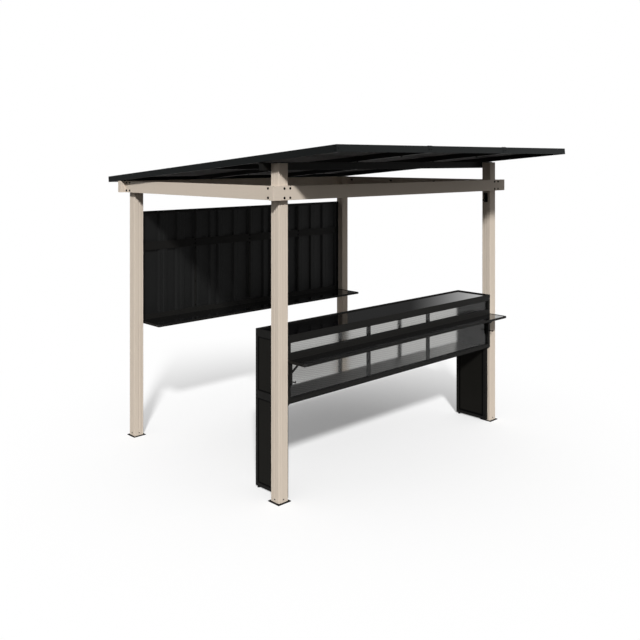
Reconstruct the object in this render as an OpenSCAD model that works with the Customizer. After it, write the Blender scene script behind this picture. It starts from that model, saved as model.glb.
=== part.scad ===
// Bar gazebo: four posts with rails, a single pitch metal roof, a bar with a shelf between the
// front posts, and a ribbed wall with a shelf between the back posts.
// Millimetres. +X runs along the bar, +Y to the back, +Z up. The origin is on the ground, under
// the middle of the roof.

/* [Frame] */
// Width across the outer faces of the posts, along the bar
frame_w = 2728; // [2200:1:3600]
// Depth across the outer faces of the posts
frame_d = 2043; // [1600:1:3000]
// Side of a square post
post_w = 89; // [70:1:120]
// Wall of a post
post_wall = 3; // [2.5:0.5:5]
// Chamfer on the edges of a post
post_edge = 4; // [2:0.5:8]
// Flutes in each face of a post
flute_count = 3; // [1:1:4]
// Width of a flute
flute_w = 11; // [6:0.5:14]
// Depth of a flute
flute_depth = 1.2; // [0.5:0.1:2]
// Underside of the rails above the ground
rail_z = 2180; // [2050:1:2600]
// Height of a rail
rail_h = 102; // [60:1:150]
// Thickness of a rail, front to back
rail_t = 41; // [25:1:60]
// Wall of a rail
rail_wall = 2.5; // [2:0.5:4]
// Length of the front and back rails past the posts
rail_overhang = 90; // [40:1:95]
// Height of the high beam behind the tops of the front posts
beam_h = 58; // [40:1:90]
// Length of the high beam past the posts
beam_overhang = 78; // [30:1:92]
// Tops of the front posts below the top of the high beam
post_drop = 5; // [0:1:30]

/* [Base plates] */
// How far a base plate shows outside its post
plate_margin = 15; // [14:1:40]
// Thickness of a base plate
plate_t = 5; // [3:0.5:10]
// Diameter of an anchor hole
anchor_d = 8; // [5:0.5:9]
// Distance from an anchor hole's centre to the edges of its plate
anchor_edge = 7.5; // [6:0.5:8]
// Height of the sleeve that stands inside a post
sleeve_h = 60; // [30:1:120]

/* [Roof] */
// Slope of the roof, down to the back
roof_pitch = 4.95; // [2:0.05:10]
// Roof past the front posts
roof_front = 677; // [200:1:900]
// Roof past the back posts
roof_back = 209; // [150:1:600]
// Roof past the posts at each side
roof_side = 92; // [92:1:300]
// Height of a rafter
rafter_h = 40; // [30:1:80]
// Width of a rafter
rafter_w = 40; // [25:1:60]
// Wall of a rafter
rafter_wall = 2; // [1.5:0.5:4]
// Distance from one corrugation of the roof sheets to the next
roof_rib_pitch = 64; // [50:1:120]
// Height of a corrugation
roof_rib_h = 8; // [4:0.5:16]
// Thickness of the roof and wall sheets
sheet_t = 1; // [0.8:0.1:2]
// Thickness of the fascia
fascia_t = 1.5; // [1:0.1:3]
// Flange of the fascia over the roof sheets
fascia_flange = 28; // [15:1:50]
// Width of the caps over the joints of the roof sheets
cap_w = 46; // [30:1:70]

/* [Bar] */
// Top of the bar above the ground
bar_top = 1197; // [1150:1:1300]
// Depth of the bar
bar_d = 370; // [250:1:500]
// Front of the bar behind the front faces of the posts
bar_setback = 0; // [0:1:40]
// Underside of the glazed front above the ground
bar_front_z = 705; // [500:1:800]
// How far the end frames step back below the glazed front
bar_step = 28; // [10:1:60]
// Thickness of the bar's tubes
bar_tube = 25; // [20:1:40]
// Thickness of an end frame, along the bar
bar_end_t = 26; // [20:1:50]
// Width of the front stile of an end frame
bar_stile_w = 32; // [25:1:60]
// Depth of the end frames' panels below their faces
bar_panel_recess = 5; // [2:0.5:8]
// Height of the lower rails of the bar
bar_rail_h = 27; // [20:1:60]
// Height of the top rails of the bar
apron_h = 57; // [40:1:90]
// Height of the rail that carries the front shelf
shelf_rail_h = 57; // [40:1:80]
// Width of a mullion
mullion_w = 25; // [20:1:60]
// Distance from the middle of the bar to a mullion's centre
mullion_x = 380; // [250:1:600]
// Thickness of the rim round the bar top
rim_t = 8; // [4:1:12]
// Depth of the bar top below its rim
rim_depth = 9; // [4:1:14]
// Thickness of the bar top and shelf tops
top_t = 8; // [4:1:12]
// Thickness of the board at the bottom of the bar
board_t = 15; // [10:1:25]
// Distance of that board behind the front of the bar
board_setback = 25; // [10:1:60]
// Height of that board above the back's bottom rail
board_rise = 8; // [2:1:14]
// Thickness of a pane
pane_t = 6; // [4:1:10]
// Distance of a pane behind the front of its frame
pane_setback = 18; // [4:1:30]
// Height of a levelling foot
foot_h = 12; // [8:1:30]
// Diameter of a levelling foot
foot_d = 24; // [16:1:30]

/* [Shelves] */
// Underside of both shelves above the ground
shelf_z = 1000; // [880:1:1050]
// Height of the shelf frames
shelf_h = 20; // [18:1:40]
// Depth of the shelf tops below their rims
shelf_rim_depth = 3; // [1:0.5:6]
// Depth of the shelf in front of the bar
front_shelf_d = 178; // [140:1:350]
// Distance that the back shelf stands out from the front faces of the back posts
back_shelf_d = 249; // [150:1:350]
// Width of the shelf frames' bars
shelf_bar = 20; // [14:1:35]
// Width of a shelf bracket
bracket_w = 26; // [20:1:40]
// Height of a bracket's back plate
bracket_h = 169; // [130:1:200]
// Distance from a post to the middle of its bracket
bracket_inset = 25; // [20:1:36]
// Reach and drop of a bracket's strut
strut_reach = 85; // [60:1:110]
// Reach of the hook on a bracket
bracket_hook_reach = 50; // [30:1:80]
// Diameter of the hook on a bracket
bracket_hook_d = 8; // [6:0.5:12]

/* [Back wall] */
// Top of the back wall above the ground
wall_top = 2002; // [1850:1:2040]
// Thickness of the wall frame, which is flush with the backs of the posts
wall_frame_t = 25; // [24:1:35]
// Height of the wall frame's bottom bar
wall_bottom_h = 60; // [30:1:140]
// Underside of the wall's middle rail above the ground
wall_rail_z = 1646; // [1300:1:1700]
// Height of the wall's middle rail
wall_rail_h = 76; // [40:1:100]
// Thickness of the wall's middle rail and uprights
wall_rail_t = 4; // [2:1:8]
// Width of the wall's three uprights
wall_upright_w = 24; // [16:1:40]
// Distance from the middle of the wall to its outer uprights
wall_upright_x = 667; // [400:1:850]
// Width of a wall rib at its foot
wall_rib_w = 104; // [70:1:110]
// Width of a rib's slanted flank
wall_flank = 14; // [5:0.5:20]
// Half width of the groove along a rib's crest
wall_groove = 4; // [2:0.5:6]
// Distance from the wall's left edge to the middle of its first rib
wall_edge = 227; // [90:1:300]
// Distance from a joint of the wall sheets to the middle of the next rib
wall_first_rib = 101; // [80:1:120]
// Plain edge of the third wall sheet after its last rib
wall_plain = 23; // [10:1:60]
// Middle of the last wall rib past the right edge of the sheets
wall_past = 15; // [0:1:30]
// Reach of a wall sheet under the cut rib beside it
wall_lap = 20; // [10:1:24]

/* [Hooks] */
// Hooks on each side rail
hook_count = 4; // [2:1:6]
// Distance from a post to the middle of the nearest hook
hook_margin = 65; // [30:1:200]
// Height of a rail hook's plate
hook_h = 18; // [14:1:50]
// Diameter of a hook's wire
hook_d = 5; // [4:0.5:8]
// Reach of a rail hook
hook_reach = 18; // [12:1:40]
// Thickness of a hook's plate
hook_plate_t = 3; // [2:0.5:5]
// Height of a post hook's plate
post_hook_h = 88; // [60:1:120]
// Width of a post hook's plate
post_hook_w = 40; // [24:1:60]
// Reach of a post hook
post_hook_reach = 50; // [30:1:80]
// Diameter of a post hook's arm
post_hook_d = 9; // [6:0.5:14]
// Rise of a post hook's arm towards its end
post_hook_rise = 15; // [0:1:30]

/* [Hidden] */
$fn = 32;

// Colours
beige = "#C6BAA8";
black = "#232425";
glossy_black = "#111213";
smoke = [0.45, 0.46, 0.46, 0.6];

// Clearance between pieces that seat on each other, and a cut's reach past the face it opens
seat = 0.3;
cut = 1;

// Heights of the roof's layers above the underside of the rafters
sheet_z = rafter_h + seat;
flange_z = sheet_z + roof_rib_h + sheet_t + seat;
fascia_h = flange_z + fascia_t;
cap_z = fascia_h + seat;

// Plan of the frame. The roof's edges lean to the back with its slope, so half of that lean
// brings the middle of the whole to the origin
roof_d = roof_front + frame_d + roof_back;
lean = (cap_z + fascia_t) * sin(roof_pitch) / 2;
roof_y0 = -roof_d / 2 - lean;
roof_y1 = roof_y0 + roof_d;
front_y = roof_y0 + roof_front;
back_y = front_y + frame_d;
post_x = frame_w / 2 - post_w / 2;
post_front_y = front_y + post_w / 2;
post_back_y = back_y - post_w / 2;
inner_x = frame_w / 2 - post_w;
back_post_face_y = back_y - post_w;

// Heights of the roof's bearing, which lies along the back edges of the back rail and the beam
rail_top = rail_z + rail_h;
beam_back_y = front_y + post_w + rail_t;
bearing_back_y = back_y + rail_t;
beam_top = rail_top + tan(roof_pitch) * (bearing_back_y - beam_back_y);
front_post_top = beam_top - post_drop;

// Roof, in a frame tilted to the slope with its origin on the back edge of the beam
roof_w = frame_w + 2 * roof_side;
roof_u0 = (roof_y0 - beam_back_y) / cos(roof_pitch);
roof_u1 = (roof_y1 - beam_back_y) / cos(roof_pitch);
panel_w = (roof_w - 2 * fascia_t) / 3;
rafter_len = roof_u1 - roof_u0 - 2 * (fascia_t + seat);
rafter_u = roof_u0 + fascia_t + seat;
purlin_u = (roof_u0 + roof_u1) / 2;

// Bar
bar_front_y = front_y + bar_setback;
bar_back_y = bar_front_y + bar_d;
bar_half = inner_x;
frame_half = bar_half - bar_end_t;
pane_bottom = bar_front_z + bar_rail_h;
pane_top = bar_top - apron_h;
top_z = bar_top - rim_depth - top_t;
mullion_y = pane_setback + pane_t + seat;
shelf_lip = rim_t / 2;

// Back wall
wall_y = back_y - wall_frame_t;
wall_bottom = shelf_z;
wall_pan_y = back_y - seat;
wall_rib_h = wall_frame_t - wall_rail_t - sheet_t - 3 * seat;
wall_x0 = -inner_x + bar_tube + seat;
wall_x1 = inner_x - bar_tube - seat;

// Ribs of the wall sheets. The first two sheets end before the middle of their fourth rib, the
// third ends after it and the wall's frame cuts the second rib of the last
rib_cut = wall_groove + cut;
wall_rib_pitch = (wall_x1 - wall_x0 - wall_edge - 3 * wall_first_rib
  + 2 * rib_cut - wall_rib_w / 2 - wall_plain + wall_past) / 10;
wall_joint_1 = wall_x0 + wall_edge + 3 * wall_rib_pitch - rib_cut;
wall_joint_2 = wall_joint_1 + wall_first_rib + 3 * wall_rib_pitch - rib_cut;
wall_joint_3 = wall_joint_2 + wall_first_rib + 3 * wall_rib_pitch + wall_rib_w / 2 + wall_plain;

// Shelf
back_shelf_full_d = wall_y - back_post_face_y + back_shelf_d;

// Profiles --------------------------------------------------------------------------------------

// One face of a post from its left edge to its right, with shallow flutes
function post_side() =
  let (half = post_w / 2, step = (post_w - 2 * post_edge) / flute_count)
  concat(
    [[-half + post_edge, -half]],
    [for (i = [0:flute_count - 1])
      let (x = -half + post_edge + (i + 0.5) * step)
      each [
        [x - flute_w / 2, -half],
        [x - flute_w / 2 + flute_depth, -half + flute_depth],
        [x + flute_w / 2 - flute_depth, -half + flute_depth],
        [x + flute_w / 2, -half]
      ]],
    [[half - post_edge, -half]]
  );

function turned(points, angle) =
  [for (p = points) [p[0] * cos(angle) - p[1] * sin(angle), p[0] * sin(angle) + p[1] * cos(angle)]];

// Ribs at the centres in list xs, from left to right: a flank, a crest and a flank each. A groove
// over 0 is half the width of a V along the crest
function rib_line(xs, foot, crest, h, groove) =
  [for (x = xs) each concat(
    [[x - foot / 2, 0], [x - crest / 2, h]],
    groove > 0 ? [[x - groove, h], [x, h - groove / 2], [x + groove, h]] : [],
    [[x + crest / 2, h], [x + foot / 2, 0]]
  )];

// A sheet's section of thickness t: flat pans, and ribs that stand up by h
function ribbed(x0, x1, xs, foot, crest, h, t, groove) =
  let (
    spread = 2 * t * tan(atan2(h, (foot - crest) / 2) / 2),
    under = concat([[x0, 0]], rib_line(xs, foot, crest, h, groove), [[x1, 0]]),
    over = concat([[x0, 0]], rib_line(xs, foot + spread, crest + spread, h, groove), [[x1, 0]]),
    last = len(under) - 1
  )
  concat(under, [for (i = [0:last]) over[last - i] + [0, t]]);

module tube(length, width, height, wall) {
  difference() {
    cube([length, width, height]);
    translate([-cut, wall, wall]) cube([length + 2 * cut, width - 2 * wall, height - 2 * wall]);
  }
}

// Posts and base plates -------------------------------------------------------------------------

module post(x, y, top) {
  color(beige) translate([x, y, plate_t])
    linear_extrude(top - plate_t) difference() {
      polygon([for (k = [0:3]) each turned(post_side(), 90 * k)]);
      square(post_w - 2 * (post_wall + flute_depth), center = true);
    }
}

module base_plate(x, y) {
  plate_w = post_w + 2 * plate_margin;
  sleeve_w = post_w - 2 * (post_wall + flute_depth + seat);
  hole = plate_w / 2 - anchor_edge;
  color(black) translate([x, y, 0]) {
    difference() {
      translate([-plate_w / 2, -plate_w / 2, 0]) cube([plate_w, plate_w, plate_t]);
      for (i = [-1, 1], j = [-1, 1])
        translate([i * hole, j * hole, -cut]) cylinder(d = anchor_d, h = plate_t + 2 * cut);
    }
    translate([0, 0, plate_t]) linear_extrude(sleeve_h) difference() {
      square(sleeve_w, center = true);
      square(sleeve_w - 2 * post_wall, center = true);
    }
  }
}

// Rails and high beam ---------------------------------------------------------------------------

// A tube along X with a plug in each end
module capped_tube(length, width, height, wall) {
  plug = wall;
  body = length - 2 * (plug + seat);
  translate([-body / 2, 0, 0]) tube(body, width, height, wall);
  for (s = [-1, 1])
    translate([s * (length / 2 - plug / 2) - plug / 2, 0, 0]) cube([plug, width, height]);
}

module long_rail(y) {
  color(beige) translate([0, y, rail_z])
    capped_tube(frame_w + 2 * rail_overhang, rail_t, rail_h, rail_wall);
}

module side_rail(x) {
  color(beige) translate([x + rail_t, front_y, rail_z]) rotate([0, 0, 90])
    tube(frame_d, rail_t, rail_h, rail_wall);
}

module beam_high_front() {
  color(black) translate([0, front_y + post_w, beam_top - beam_h])
    capped_tube(frame_w + 2 * beam_overhang, rail_t, beam_h, rail_wall);
}

// Roof ------------------------------------------------------------------------------------------

module on_roof() {
  translate([0, beam_back_y, beam_top]) rotate([-roof_pitch, 0, 0]) children();
}

module rafter(x) {
  color(black) on_roof() translate([x + rafter_w / 2, rafter_u, seat]) rotate([0, 0, 90])
    tube(rafter_len, rafter_w, rafter_h - seat, rafter_wall);
}

// One tube in each bay between the rafters
module purlins() {
  outer = roof_w / 2 - fascia_t - rafter_w - seat;
  inner = panel_w / 2 + rafter_w / 2;
  bay = outer - inner;
  color(black) on_roof() {
    translate([-outer, purlin_u, seat]) tube(bay, rafter_w, rafter_h - seat, rafter_wall);
    translate([inner, purlin_u, seat]) tube(bay, rafter_w, rafter_h - seat, rafter_wall);
    translate([-panel_w / 2 + rafter_w / 2, purlin_u, seat])
      tube(panel_w - rafter_w, rafter_w, rafter_h - seat, rafter_wall);
  }
}

module roof_sheet(index) {
  usable = panel_w - 2 * seat;
  foot = roof_rib_pitch / 2;
  count = floor((usable - foot) / roof_rib_pitch);
  first = -(count - 1) / 2 * roof_rib_pitch;
  ribs = [for (i = [0:count - 1]) first + i * roof_rib_pitch];
  color(black) on_roof() translate([index * panel_w, rafter_u + rafter_len, sheet_z])
    rotate([90, 0, 0]) linear_extrude(rafter_len)
      polygon(ribbed(-usable / 2, usable / 2, ribs, foot, foot / 2, roof_rib_h, sheet_t, 0));
}

// Caps over the two joints of the roof sheets, turned down over the fascia at both ends
module roof_joint_caps() {
  length = roof_u1 - roof_u0 + 2 * (fascia_t + seat);
  color(black) on_roof() for (s = [-1, 1])
    translate([s * panel_w / 2 - cap_w / 2, roof_u0 - fascia_t - seat, 0]) {
      translate([0, 0, cap_z]) cube([cap_w, length, fascia_t]);
      cube([cap_w, fascia_t, cap_z]);
      translate([0, length - fascia_t, 0]) cube([cap_w, fascia_t, cap_z]);
    }
}

// Angle section: a face of the fascia's height and a flange over the sheets
module fascia_end(mirrored) {
  color(black) on_roof() mirror([0, mirrored, 0]) {
    u = mirrored == 1 ? -roof_u1 : roof_u0;
    translate([-roof_w / 2, u, 0]) cube([roof_w, fascia_t, fascia_h]);
    translate([-roof_w / 2, u, flange_z]) cube([roof_w, fascia_flange, fascia_t]);
  }
}

module fascia_side(side) {
  inset = fascia_flange + seat;
  color(black) on_roof() mirror([side > 0 ? 1 : 0, 0, 0]) {
    translate([-roof_w / 2, roof_u0 + fascia_t + seat, 0])
      cube([fascia_t, rafter_len, flange_z]);
    translate([-roof_w / 2, roof_u0 + inset, flange_z])
      cube([fascia_flange, roof_u1 - roof_u0 - 2 * inset, fascia_t]);
  }
}

// Bar -------------------------------------------------------------------------------------------

// A top rail with a rebate that holds the top panel; the rim is on the outer side, at y = 0
module rebated_rail(length, depth, height) {
  difference() {
    cube([length, depth, height]);
    translate([-cut, rim_t, height - rim_depth - top_t])
      cube([length + 2 * cut, depth - rim_t + cut, rim_depth + top_t + cut]);
  }
}

// Two uprights from height low to the top rails, with their outer side at y = 0
module mullions(low) {
  for (s = [-1, 1])
    translate([s * mullion_x - mullion_w / 2, 0, low]) cube([mullion_w, bar_tube, pane_top - low]);
}

// Three rails in the bar's front plane, and mullions behind the panes
module bar_front_frame() {
  length = 2 * frame_half;
  depth = mullion_y + bar_tube;
  color(black) translate([0, bar_front_y, 0]) {
    translate([-frame_half, 0, bar_front_z]) cube([length, depth, bar_rail_h]);
    translate([-frame_half, 0, shelf_z]) cube([length, depth, shelf_rail_h]);
    translate([-frame_half, 0, pane_top]) rebated_rail(length, depth, apron_h);
    translate([0, mullion_y, 0]) mullions(pane_bottom);
  }
}

// Two rails with mullions between them; the bottom rail leaves the edge of the board free
module bar_back_frame() {
  length = 2 * frame_half;
  low = bar_front_z - board_rise;
  color(black) translate([0, bar_back_y, 0]) mirror([0, 1, 0]) {
    translate([-frame_half, 0, low - bar_rail_h]) cube([length, bar_tube, bar_rail_h]);
    translate([-frame_half, 0, pane_top]) rebated_rail(length, bar_tube, apron_h);
    mullions(low);
  }
}

// End frame of the bar with two sunk panels, outer side at x = 0 and underside at z = 0
module bar_end() {
  height = bar_top - foot_h;
  step = bar_front_z - foot_h;
  panel_y = bar_step + bar_stile_w;
  difference() {
    rotate([90, 0, 90]) linear_extrude(bar_end_t) polygon([
      [bar_step, 0], [bar_d, 0], [bar_d, height],
      [0, height], [0, step], [bar_step, step - bar_step]
    ]);
    for (span = [[bar_tube, step - bar_step], [step + bar_rail_h, height - apron_h]])
      for (x = [-cut, bar_end_t - bar_panel_recess])
        translate([x, panel_y, span[0]])
          cube([bar_panel_recess + cut, bar_d - panel_y - bar_tube, span[1] - span[0]]);
    translate([rim_t, rim_t, height - rim_depth - top_t])
      cube([bar_end_t, bar_d - 2 * rim_t, rim_depth + top_t + cut]);
  }
}

module bar_end_left() {
  color(black) translate([-bar_half, bar_front_y, foot_h]) bar_end();
}

module bar_end_right() {
  color(black) translate([bar_half, bar_front_y, foot_h]) mirror([1, 0, 0]) bar_end();
}

module bar_top_panel() {
  inset = rim_t + seat;
  color(glossy_black) translate([-bar_half + inset, bar_front_y + inset, top_z])
    cube([2 * (bar_half - inset), bar_d - 2 * inset, top_t]);
}

module bar_bottom_board() {
  half = frame_half - seat;
  depth = bar_d - board_setback - bar_tube - seat;
  color(glossy_black) translate([-half, bar_front_y + board_setback, bar_front_z - seat - board_t])
    cube([2 * half, depth, board_t]);
}

// One pane below the shelf's rail and one above it
module bar_panes() {
  half = frame_half - seat;
  color(smoke) for (span = [[pane_bottom, shelf_z], [shelf_z + shelf_rail_h, pane_top]])
    translate([-half, bar_front_y + pane_setback, span[0] + seat])
      cube([2 * half, pane_t, span[1] - span[0] - 2 * seat]);
}

// Feet under the back stiles of the end frames
module bar_feet() {
  color(black) for (s = [-1, 1])
    translate([s * (bar_half - bar_end_t / 2), bar_back_y - bar_tube, 0]) {
      cylinder(d = foot_d, h = foot_h * 0.6);
      cylinder(d = foot_d / 2, h = foot_h);
    }
}

// Shelves ---------------------------------------------------------------------------------------

// A shelf frame from x = -inner_x to inner_x and from y = 0 to depth, rebated for its top
module shelf_frame(depth) {
  rebate = shelf_rim_depth + top_t;
  difference() {
    translate([-inner_x, 0, 0]) cube([2 * inner_x, depth, shelf_h]);
    translate([-inner_x + shelf_lip, shelf_lip, shelf_h - rebate])
      cube([2 * (inner_x - shelf_lip), depth - 2 * shelf_lip, rebate + cut]);
    translate([-inner_x + shelf_bar, shelf_bar, -cut])
      cube([2 * (inner_x - shelf_bar), depth - 2 * shelf_bar, shelf_h + 2 * cut]);
  }
}

module shelf_top(depth) {
  inset = shelf_lip + seat;
  translate([-inner_x + inset, inset, shelf_h - shelf_rim_depth - top_t])
    cube([2 * (inner_x - inset), depth - 2 * inset, top_t]);
}

module front_shelf_place() {
  translate([0, bar_front_y - front_shelf_d, shelf_z]) children();
}

module back_shelf_place() {
  translate([0, back_post_face_y - back_shelf_d, shelf_z]) children();
}

module front_shelf_frame() {
  color(black) front_shelf_place() shelf_frame(front_shelf_d);
}

module front_shelf_top() {
  color(glossy_black) front_shelf_place() shelf_top(front_shelf_d);
}

module back_shelf_frame() {
  color(black) back_shelf_place() shelf_frame(back_shelf_full_d);
}

module back_shelf_top() {
  color(glossy_black) back_shelf_place() shelf_top(back_shelf_full_d);
}

// A back plate on the bar's front, an arm under the shelf, a strut between them and a hook
module shelf_bracket() {
  plate = 4;
  arm = strut_reach + bracket_w / 2;
  hook_z = -bracket_h + 4 * bracket_hook_d;
  rotate([90, 0, 90]) linear_extrude(bracket_w, center = true) union() {
    translate([-plate, -bracket_h]) square([plate, bracket_h]);
    translate([-arm, -plate]) square([arm, plate]);
    polygon([
      [-strut_reach, 0], [-strut_reach + 1.5 * plate, 0],
      [0, -strut_reach + 1.5 * plate], [0, -strut_reach]
    ]);
  }
  translate([0, -plate / 2, hook_z]) rotate([90, 0, 0])
    cylinder(d = bracket_hook_d, h = bracket_hook_reach - plate / 2);
  translate([0, -bracket_hook_reach, hook_z]) sphere(d = bracket_hook_d);
  translate([0, -bracket_hook_reach, hook_z]) cylinder(d = bracket_hook_d, h = 1.5 * bracket_hook_d);
}

module front_shelf_brackets() {
  color(black) for (s = [-1, 1])
    translate([s * (inner_x - bracket_inset), bar_front_y - seat, shelf_z - seat]) shelf_bracket();
}

// Back wall -------------------------------------------------------------------------------------

// A frame with three thin uprights in its front plane
module wall_frame() {
  height = wall_top - wall_bottom;
  color(black) translate([0, wall_y, wall_bottom]) {
    difference() {
      translate([-inner_x, 0, 0]) cube([2 * inner_x, wall_frame_t, height]);
      translate([-inner_x + bar_tube, -cut, wall_bottom_h])
        cube([2 * (inner_x - bar_tube), wall_frame_t + 2 * cut, height - wall_bottom_h - bar_tube]);
    }
    for (x = [-wall_upright_x, 0, wall_upright_x])
      translate([x - wall_upright_w / 2, 0, wall_bottom_h])
        cube([wall_upright_w, wall_rail_t, height - wall_bottom_h - bar_tube]);
  }
}

// A sheet from x0 to x1 with its ribs towards the front. The last rib is cut where it passes x1
module wall_sheet(x0, x1, first_rib, count) {
  low = wall_bottom + wall_bottom_h + seat;
  high = wall_top - bar_tube - seat;
  ribs = [for (i = [0:count - 1]) first_rib + i * wall_rib_pitch];
  crest = wall_rib_w - 2 * wall_flank;
  past = x1 + wall_rib_w;
  color(black) translate([0, wall_pan_y, low]) mirror([0, 1, 0])
    linear_extrude(high - low) intersection() {
      polygon(ribbed(x0, past, ribs, wall_rib_w, crest, wall_rib_h, sheet_t, wall_groove));
      translate([x0, -cut]) square([x1 - seat - x0, wall_rib_h + sheet_t + 2 * cut]);
    }
}

// Four lengths of flat bar between the uprights, in the frame's front plane
module wall_middle_rail() {
  half = wall_upright_w / 2 + seat;
  ends = [wall_x0, -wall_upright_x, 0, wall_upright_x, wall_x1];
  color(black) for (i = [0:3]) {
    x0 = ends[i] + (i == 0 ? 0 : half);
    x1 = ends[i + 1] - (i == 3 ? 0 : half);
    translate([x0, wall_y, wall_rail_z]) cube([x1 - x0, wall_rail_t, wall_rail_h]);
  }
}

// Hooks -----------------------------------------------------------------------------------------

// A small plate with a turned up wire; the plate's back is at x = 0 and the hook points to +x
module rail_hook() {
  width = 3 * hook_d;
  tip_x = hook_plate_t / 2 + hook_reach;
  translate([0, -width / 2, -hook_h / 2]) cube([hook_plate_t, width, hook_h]);
  translate([hook_plate_t / 2, 0, 0]) rotate([0, 90, 0]) cylinder(d = hook_d, h = hook_reach);
  translate([tip_x, 0, 0]) sphere(d = hook_d);
  translate([tip_x, 0, 0]) cylinder(d = hook_d, h = hook_h / 2);
}

// A plate with an arm that ends in a knob
module post_hook() {
  translate([0, -post_hook_w / 2, 0]) cube([hook_plate_t, post_hook_w, post_hook_h]);
  translate([hook_plate_t / 2, 0, post_hook_d]) rotate([0, 90 - post_hook_rise, 0]) {
    cylinder(d = post_hook_d, h = post_hook_reach);
    translate([0, 0, post_hook_reach]) sphere(d = 1.4 * post_hook_d);
  }
}

module hooks() {
  hook_z = rail_top - rail_h / 3;
  first_y = front_y + post_w + hook_margin;
  pitch = (frame_d - 2 * (post_w + hook_margin)) / (hook_count - 1);
  color(black) for (s = [0, 1]) mirror([s, 0, 0]) {
    for (i = [0:hook_count - 1])
      translate([-frame_w / 2 + seat, first_y + i * pitch, hook_z]) rail_hook();
    translate([-inner_x + seat, post_front_y, rail_z - post_hook_h - post_w / 4]) post_hook();
  }
}

// Nodes -----------------------------------------------------------------------------------------

post(-post_x, post_front_y, front_post_top);  // post_front_left
post(post_x, post_front_y, front_post_top);  // post_front_right
post(-post_x, post_back_y, rail_top);  // post_back_left
post(post_x, post_back_y, rail_top);  // post_back_right
base_plate(-post_x, post_front_y);  // base_plate_front_left
base_plate(post_x, post_front_y);  // base_plate_front_right
base_plate(-post_x, post_back_y);  // base_plate_back_left
base_plate(post_x, post_back_y);  // base_plate_back_right
long_rail(front_y - rail_t);  // rail_front
long_rail(back_y);  // rail_back
side_rail(-frame_w / 2 - rail_t);  // rail_left
side_rail(frame_w / 2);  // rail_right
beam_high_front();
rafter(-roof_w / 2 + fascia_t + seat + rafter_w / 2);  // rafter_left
rafter(-panel_w / 2);  // rafter_inner_left
rafter(panel_w / 2);  // rafter_inner_right
rafter(roof_w / 2 - fascia_t - seat - rafter_w / 2);  // rafter_right
purlins();
roof_sheet(-1);  // roof_sheet_left
roof_sheet(0);  // roof_sheet_middle
roof_sheet(1);  // roof_sheet_right
roof_joint_caps();
fascia_end(0);  // fascia_front
fascia_end(1);  // fascia_back
fascia_side(-1);  // fascia_left
fascia_side(1);  // fascia_right
bar_front_frame();
bar_back_frame();
bar_end_left();
bar_end_right();
bar_top_panel();  // bar_top
bar_bottom_board();
bar_panes();
bar_feet();
front_shelf_frame();
front_shelf_top();
front_shelf_brackets();
wall_frame();
wall_sheet(wall_x0, wall_joint_1, wall_x0 + wall_edge, 4);  // wall_sheet_1
wall_sheet(wall_joint_1 - wall_lap, wall_joint_2, wall_joint_1 + wall_first_rib, 4);  // wall_sheet_2
wall_sheet(wall_joint_2 - wall_lap, wall_joint_3, wall_joint_2 + wall_first_rib, 4);  // wall_sheet_3
wall_sheet(wall_joint_3, wall_x1 + seat, wall_joint_3 + wall_first_rib, 2);  // wall_sheet_4
wall_middle_rail();
back_shelf_frame();
back_shelf_top();
hooks();
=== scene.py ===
"""Finishes, fastenings, trim and stage for a bar gazebo, laid out as a Blender add-on."""

import functools
import itertools
import math

import bmesh
import bpy
from bpy.props import FloatProperty, FloatVectorProperty, PointerProperty
from mathutils import Matrix, Vector
from mathutils.bvhtree import BVHTree


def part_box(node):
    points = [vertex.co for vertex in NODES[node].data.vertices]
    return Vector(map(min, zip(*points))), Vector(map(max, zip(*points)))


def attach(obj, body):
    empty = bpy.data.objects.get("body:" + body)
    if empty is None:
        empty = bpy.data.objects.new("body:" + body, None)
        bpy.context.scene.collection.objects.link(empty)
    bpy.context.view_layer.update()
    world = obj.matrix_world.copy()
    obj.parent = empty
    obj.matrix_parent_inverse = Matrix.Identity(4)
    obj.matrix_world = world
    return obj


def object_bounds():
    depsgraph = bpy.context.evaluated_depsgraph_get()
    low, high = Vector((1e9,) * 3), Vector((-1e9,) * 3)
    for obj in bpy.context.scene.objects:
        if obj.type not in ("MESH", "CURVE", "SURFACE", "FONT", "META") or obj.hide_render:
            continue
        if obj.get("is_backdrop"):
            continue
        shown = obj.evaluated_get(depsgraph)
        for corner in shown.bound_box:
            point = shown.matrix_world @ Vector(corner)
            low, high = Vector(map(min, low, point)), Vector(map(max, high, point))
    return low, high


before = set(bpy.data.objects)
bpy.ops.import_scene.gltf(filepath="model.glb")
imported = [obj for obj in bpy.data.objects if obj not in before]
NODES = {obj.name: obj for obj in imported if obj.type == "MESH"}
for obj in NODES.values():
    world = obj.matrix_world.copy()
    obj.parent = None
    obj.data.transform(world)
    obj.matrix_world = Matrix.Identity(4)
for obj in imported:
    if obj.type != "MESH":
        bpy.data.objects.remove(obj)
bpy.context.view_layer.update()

bl_info = {
    "name": "Bar gazebo dressing",
    "version": (1, 0, 0),
    "blender": (4, 5, 0),
    "location": "3D View > Sidebar > Gazebo",
    "description": "Finishes, fastenings, trim and stage for a bar gazebo",
    "category": "Object",
}

LEFT_RIGHT = ("left", "right")
FRONT_BACK = ("front", "back")
# The wall sheets whose last rib is cut, and the thin sheets' finishes, whose edges stay sharp
CUT_SHEETS = (1, 2)
SHARP_FINISHES = ("sheet", "wall")
# Bolts beside the wall's middle rail at each upright
WALL_BOLTS = 3
# How far off a solid a ray starts, and the distances between rays that feel out a shape
CLEAR = 1.0
RAY_STEP = 0.002
UPRIGHT_STEP = 0.004
# How far a sheet's crests and a panel's bottom lie from the next level, and a panel's fewest rays
CREST_LEVEL = 0.0006
PANEL_LEVEL = 0.002
PANEL_RAYS = 20
# Corners closer than this are one, edges beyond these angles are rounded or shaded sharp
WELD = 0.00001
ROUNDED_BEYOND = math.radians(40)
SHARP_BEYOND = math.radians(35)
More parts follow.
